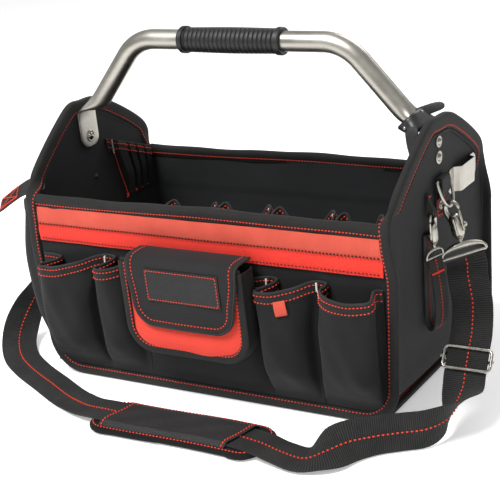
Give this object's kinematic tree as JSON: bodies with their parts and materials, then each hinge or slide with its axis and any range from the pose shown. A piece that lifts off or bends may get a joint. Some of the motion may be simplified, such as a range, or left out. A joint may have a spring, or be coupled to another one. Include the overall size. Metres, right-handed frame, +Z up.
{
  "type": "garden tool bag",
  "caption": "Open fabric tool tote with a swinging steel tube handle, outer and inner pockets, flap pouch, tape clip, D-rings and a clip-on padded shoulder strap.",
  "frame": {"origin": "middle of the underside of the base", "axes": "+X along the bag to the end with the tape clip, +Y to the back, -Y to the front with the flap pouch, +Z up"},
  "size_m": [0.7534, 0.4751, 0.4548],
  "materials": {
    "black_fabric": "woven, matte",
    "binding": "ribbed tape, matte",
    "red_fabric": "woven, slight sheen",
    "webbing": "ribbed webbing",
    "steel": "satin",
    "nickel": "nickel plate",
    "rubber": "moulded, matte",
    "leather": "smooth",
    "board": "matte",
    "tape": "hook and loop"
  },
  "bodies": {
    "bag": {"bottom_panel": "black_fabric", "base_board": "board", "front_panel": "black_fabric", "back_panel": "black_fabric", "left_end_panel": "black_fabric", "right_end_panel": "black_fabric", "front_top_binding": "binding", "back_top_binding": "binding", "left_end_binding": "binding", "right_end_binding": "binding", "front_seam_binding": "binding", "red_band": "red_fabric", "flap_pouch": "red_fabric", "pouch_loop_tape": "tape", "red_loop_tag": "red_fabric", "left_end_pocket": "black_fabric", "left_pull_tab": "webbing", "tool_loops": "black_fabric", "back_pocket": "black_fabric", "left_handle_rivet": "nickel", "right_handle_rivet": "nickel", "keeper_rivet": "nickel", "tape_tab": "webbing", "tape_hook_body": "nickel", "tape_hook_eye": "nickel", "tape_strap": "webbing", "tape_clip": "steel", "tape_clip_rivet_front": "nickel", "tape_clip_rivet_back": "nickel", "shoulder_strap": "webbing", "strap_slider": "nickel", "shoulder_pad": "black_fabric", "front_pocket_1": "black_fabric", "front_pocket_2": "black_fabric", "front_pocket_3": "black_fabric", "front_pocket_4": "black_fabric", "front_pocket_5": "black_fabric", "inner_pocket_1": "black_fabric", "inner_pocket_2": "black_fabric", "inner_pocket_3": "black_fabric", "inner_pocket_4": "black_fabric", "left_ring_tab": "webbing", "left_ring_rivet": "nickel", "left_d_ring": "nickel", "left_hook_body": "nickel", "left_hook_eye": "nickel", "right_ring_tab": "webbing", "right_ring_rivet": "nickel", "right_d_ring": "nickel", "right_hook_body": "nickel", "right_hook_eye": "nickel"},
    "handle": {"handle_tube": "steel", "handle_grip": "rubber", "handle_cuff": "leather"},
    "flap": {"pouch_flap": "black_fabric", "flap_badge": "rubber", "flap_hook_tape": "tape"},
    "right_gate": {"right_hook_gate": "nickel"},
    "left_gate": {"left_hook_gate": "nickel"},
    "tape_gate": {"tape_hook_gate": "nickel"}
  },
  "joints": [
    {"name": "handle_swing", "type": "hinge", "parent": "bag", "child": "handle", "pos_m": [0, 0, 0.297], "axis": [1, 0, 0], "range_deg": [-80, 80]},
    {"name": "flap_lift", "type": "hinge", "parent": "bag", "child": "flap", "pos_m": [0, -0.15, 0.204], "axis": [-1, 0, 0], "range_deg": [0, 100]},
    {"name": "right_gate_slide", "type": "slide", "parent": "bag", "child": "right_gate", "axis": [0.2201, 0, -0.9755], "range_m": [0, 0.008], "stiffness_N_per_m": 250, "springref_m": -0.004},
    {"name": "left_gate_slide", "type": "slide", "parent": "bag", "child": "left_gate", "axis": [-0.2201, 0, -0.9755], "range_m": [0, 0.008], "stiffness_N_per_m": 250, "springref_m": -0.004},
    {"name": "tape_gate_slide", "type": "slide", "parent": "bag", "child": "tape_gate", "axis": [0, 0, -1], "range_m": [0, 0.006], "stiffness_N_per_m": 250, "springref_m": -0.004}
  ]
}
